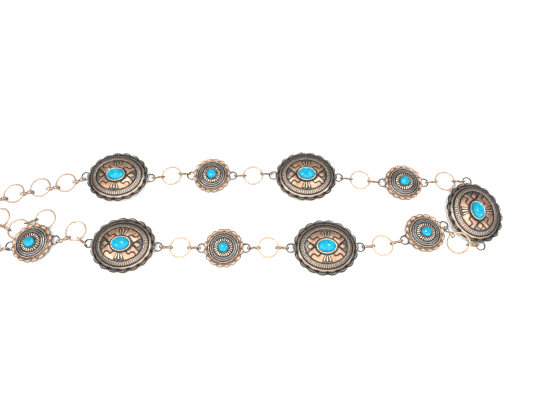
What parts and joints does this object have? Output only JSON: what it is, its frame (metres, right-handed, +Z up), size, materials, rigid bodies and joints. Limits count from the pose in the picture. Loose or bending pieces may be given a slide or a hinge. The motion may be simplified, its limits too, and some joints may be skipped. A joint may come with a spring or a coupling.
{
  "type": "concho belt",
  "caption": "Chain belt of oval and round domed conchos with turquoise stones, joined by plain rings and connectors, with a ring chain and a plain hook to close it",
  "frame": {"origin": "middle of the belt's footprint, on the surface that it lies on", "axes": "+X to the picture's right along the laid-out belt, +Y away from the camera, +Z up"},
  "size_m": [0.4596, 0.1102, 0.0123],
  "materials": {
    "dark_silver": "oxidised and worn, semi-polished",
    "copper": "polished copper",
    "turquoise": "polished stone"
  },
  "bodies": {
    "root": {"oval_concho_1": "dark_silver", "oval_concho_2": "dark_silver", "oval_concho_3": "dark_silver", "oval_concho_4": "dark_silver", "oval_concho_5": "dark_silver", "oval_stone_1": "turquoise", "oval_stone_2": "turquoise", "oval_stone_3": "turquoise", "oval_stone_4": "turquoise", "oval_stone_5": "turquoise", "round_concho_1": "dark_silver", "round_concho_2": "dark_silver", "round_concho_3": "dark_silver", "round_concho_4": "dark_silver", "round_concho_5": "dark_silver", "round_stone_1": "turquoise", "round_stone_2": "turquoise", "round_stone_3": "turquoise", "round_stone_4": "turquoise", "round_stone_5": "turquoise", "chain_ring_1": "copper", "chain_ring_2": "copper", "chain_ring_3": "copper", "chain_ring_4": "copper", "chain_ring_5": "copper", "chain_ring_6": "copper", "chain_ring_7": "copper", "chain_ring_8": "copper", "chain_ring_9": "copper", "connector_1a": "copper", "connector_1b": "copper", "connector_2a": "copper", "connector_2b": "copper", "connector_3a": "copper", "connector_3b": "copper", "connector_4a": "copper", "connector_4b": "copper", "connector_5a": "copper", "connector_5b": "copper", "connector_6a": "copper", "connector_6b": "copper", "connector_7a": "copper", "connector_7b": "copper", "connector_8a": "copper", "connector_8b": "copper", "connector_9a": "copper", "connector_9b": "copper", "extension_connector": "copper", "extension_link_1": "copper", "extension_link_2": "copper", "extension_link_3": "copper", "extension_link_4": "copper", "extension_link_5": "copper", "extension_link_6": "copper", "extension_end_ring": "copper", "hook_connector": "copper", "hook_link": "copper", "hook": "copper"}
  },
  "joints": []
}
